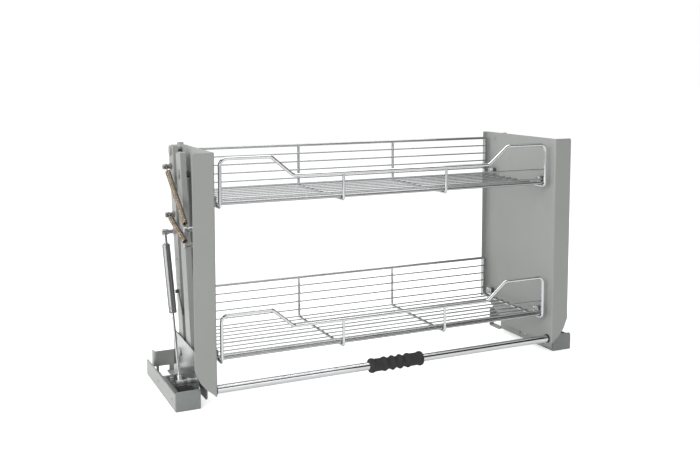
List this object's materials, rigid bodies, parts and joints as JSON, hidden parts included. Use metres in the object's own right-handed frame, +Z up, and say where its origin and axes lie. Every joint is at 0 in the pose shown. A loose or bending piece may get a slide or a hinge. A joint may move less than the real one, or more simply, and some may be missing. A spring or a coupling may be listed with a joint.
{
  "type": "pull-down cabinet shelf",
  "caption": "Pull-down shelf for a wall cabinet: wire baskets between steel side panels that swing forward and down on parallel, spring-assisted arms, with a handle bar below.",
  "frame": {"origin": "on the cabinet floor, in the middle of the unit's width and depth", "axes": "+X across the cabinet to the right, +Y to the cabinet's back, +Z up; the baskets open towards -Y"},
  "size_m": [0.8506, 0.26, 0.451],
  "materials": {
    "grey_coat": "satin",
    "grey_cap": "satin",
    "zinc_plate": "bright plated",
    "steel": "satin",
    "chrome_wire": "polished",
    "dark_metal": "semi-gloss",
    "strut_paint": "satin",
    "strut_rod": "polished",
    "spring_steel": "oiled",
    "nylon": "matte",
    "grey_nylon": "matte",
    "rubber": "matte"
  },
  "bodies": {
    "base": {"left_base_bracket": "grey_coat", "right_base_bracket": "grey_coat", "bracket_caps": "grey_cap", "left_pivot_plate": "zinc_plate", "right_pivot_plate": "zinc_plate", "left_inner_plate": "grey_coat", "right_inner_plate": "grey_coat", "left_base_pins": "steel", "right_base_pins": "steel", "strut_foot_posts": "steel", "plate_screws": "steel", "rest_stops": "rubber"},
    "shelf": {"left_side_panel": "grey_coat", "right_side_panel": "grey_coat", "top_pins": "steel", "top_collars": "dark_metal", "panel_spring_posts": "steel", "handle_bar": "chrome_wire", "handle_grip": "rubber", "handle_collars": "rubber", "upper_basket_hoop": "chrome_wire", "upper_basket_ribs": "chrome_wire", "upper_basket_rails": "chrome_wire", "upper_basket_wires": "chrome_wire", "lower_basket_hoop": "chrome_wire", "lower_basket_ribs": "chrome_wire", "lower_basket_rails": "chrome_wire", "lower_basket_wires": "chrome_wire", "basket_spacers": "nylon", "basket_screws": "steel"},
    "left_front_arm_set": {"left_front_arm": "grey_coat", "left_front_bushes": "grey_nylon"},
    "left_rear_arm_set": {"left_rear_arm": "grey_coat", "left_rear_bushes": "grey_nylon", "left_spring_posts": "steel", "left_strut_post": "steel", "left_stop_lever": "dark_metal"},
    "left_strut_lower": {"left_strut_rod": "strut_rod", "left_strut_foot_eye": "steel"},
    "left_strut_upper": {"left_strut_cylinder": "strut_paint", "left_strut_socket": "steel"},
    "left_upper_spring_set": {"left_upper_spring": "spring_steel"},
    "left_upper_spring_end": {"left_upper_spring_eye": "spring_steel"},
    "left_lower_spring_set": {"left_lower_spring": "spring_steel"},
    "left_lower_spring_end": {"left_lower_spring_eye": "spring_steel"},
    "right_front_arm_set": {"right_front_arm": "grey_coat", "right_front_bushes": "grey_nylon"},
    "right_rear_arm_set": {"right_rear_arm": "grey_coat", "right_rear_bushes": "grey_nylon", "right_spring_posts": "steel", "right_strut_post": "steel", "right_stop_lever": "dark_metal"},
    "right_strut_lower": {"right_strut_rod": "strut_rod", "right_strut_foot_eye": "steel"},
    "right_strut_upper": {"right_strut_cylinder": "strut_paint", "right_strut_socket": "steel"},
    "right_upper_spring_set": {"right_upper_spring": "spring_steel"},
    "right_upper_spring_end": {"right_upper_spring_eye": "spring_steel"},
    "right_lower_spring_set": {"right_lower_spring": "spring_steel"},
    "right_lower_spring_end": {"right_lower_spring_eye": "spring_steel"}
  },
  "joints": [
    {"name": "lift", "type": "hinge", "parent": "base", "child": "left_front_arm_set", "pos_m": [-0.3733, -0.033, 0.026], "axis": [1, 0, 0], "range_deg": [0, 97]},
    {"name": "shelf_level", "type": "hinge", "parent": "left_front_arm_set", "child": "shelf", "pos_m": [-0.3733, 0.02608, 0.399], "axis": [1, 0, 0], "range_deg": [-97, 0]},
    {"name": "left_rear_arm_turn", "type": "hinge", "parent": "base", "child": "left_rear_arm_set", "pos_m": [-0.3733, 0.025, 0.064], "axis": [1, 0, 0], "range_deg": [0, 97]},
    {"name": "right_front_arm_turn", "type": "hinge", "parent": "base", "child": "right_front_arm_set", "pos_m": [0.3733, -0.033, 0.026], "axis": [1, 0, 0], "range_deg": [0, 97]},
    {"name": "right_rear_arm_turn", "type": "hinge", "parent": "base", "child": "right_rear_arm_set", "pos_m": [0.3733, 0.025, 0.064], "axis": [1, 0, 0], "range_deg": [0, 97]},
    {"name": "left_strut_swing", "type": "hinge", "parent": "base", "child": "left_strut_lower", "pos_m": [-0.3985, -0.033, 0.026], "axis": [1, 0, 0], "range_deg": [0, 94.43]},
    {"name": "left_strut_stroke", "type": "slide", "parent": "left_strut_lower", "child": "left_strut_upper", "axis": [0, 0.3365, 0.9417], "range_m": [-0.10358, 0]},
    {"name": "left_upper_spring_swing", "type": "hinge", "parent": "shelf", "child": "left_upper_spring_set", "pos_m": [-0.38875, -0.065, 0.3115], "axis": [1, 0, 0], "range_deg": [0, 1.18]},
    {"name": "left_upper_spring_stretch", "type": "slide", "parent": "left_upper_spring_set", "child": "left_upper_spring_end", "axis": [0, 0.8307, 0.5567], "range_m": [0, 0.04347], "deforming": ["left_upper_spring", "left_upper_spring_eye"]},
    {"name": "left_lower_spring_swing", "type": "hinge", "parent": "shelf", "child": "left_lower_spring_set", "pos_m": [-0.38875, -0.065, 0.283], "axis": [1, 0, 0], "range_deg": [0, 13.93]},
    {"name": "left_lower_spring_stretch", "type": "slide", "parent": "left_lower_spring_set", "child": "left_lower_spring_end", "axis": [0, 0.9649, 0.2627], "range_m": [0, 0.17306], "deforming": ["left_lower_spring", "left_lower_spring_eye"]},
    {"name": "right_strut_swing", "type": "hinge", "parent": "base", "child": "right_strut_lower", "pos_m": [0.3985, -0.033, 0.026], "axis": [1, 0, 0], "range_deg": [0, 94.43]},
    {"name": "right_strut_stroke", "type": "slide", "parent": "right_strut_lower", "child": "right_strut_upper", "axis": [0, 0.3365, 0.9417], "range_m": [-0.10358, 0]},
    {"name": "right_upper_spring_swing", "type": "hinge", "parent": "shelf", "child": "right_upper_spring_set", "pos_m": [0.38875, -0.065, 0.3115], "axis": [1, 0, 0], "range_deg": [0, 1.18]},
    {"name": "right_upper_spring_stretch", "type": "slide", "parent": "right_upper_spring_set", "child": "right_upper_spring_end", "axis": [0, 0.8307, 0.5567], "range_m": [0, 0.04347], "deforming": ["right_upper_spring", "right_upper_spring_eye"]},
    {"name": "right_lower_spring_swing", "type": "hinge", "parent": "shelf", "child": "right_lower_spring_set", "pos_m": [0.38875, -0.065, 0.283], "axis": [1, 0, 0], "range_deg": [0, 13.93]},
    {"name": "right_lower_spring_stretch", "type": "slide", "parent": "right_lower_spring_set", "child": "right_lower_spring_end", "axis": [0, 0.9649, 0.2627], "range_m": [0, 0.17306], "deforming": ["right_lower_spring", "right_lower_spring_eye"]}
  ],
  "couplings": [
    {"joint": "shelf_level", "follows": "lift", "ratio": -1},
    {"joint": "left_rear_arm_turn", "follows": "lift", "ratio": 1},
    {"joint": "right_front_arm_turn", "follows": "lift", "ratio": 1},
    {"joint": "right_rear_arm_turn", "follows": "lift", "ratio": 1},
    {"joint": "left_strut_swing", "follows": "lift", "ratio": 0.97296},
    {"joint": "left_strut_stroke", "follows": "lift", "m_per_rad": -0.061062},
    {"joint": "left_upper_spring_swing", "follows": "lift", "ratio": 0.011677},
    {"joint": "left_upper_spring_stretch", "follows": "lift", "m_per_rad": 0.025558},
    {"joint": "left_lower_spring_swing", "follows": "lift", "ratio": 0.14313},
    {"joint": "left_lower_spring_stretch", "follows": "lift", "m_per_rad": 0.1021},
    {"joint": "right_strut_swing", "follows": "lift", "ratio": 0.97296},
    {"joint": "right_strut_stroke", "follows": "lift", "m_per_rad": -0.061062},
    {"joint": "right_upper_spring_swing", "follows": "lift", "ratio": 0.011677},
    {"joint": "right_upper_spring_stretch", "follows": "lift", "m_per_rad": 0.025558},
    {"joint": "right_lower_spring_swing", "follows": "lift", "ratio": 0.14313},
    {"joint": "right_lower_spring_stretch", "follows": "lift", "m_per_rad": 0.1021}
  ]
}
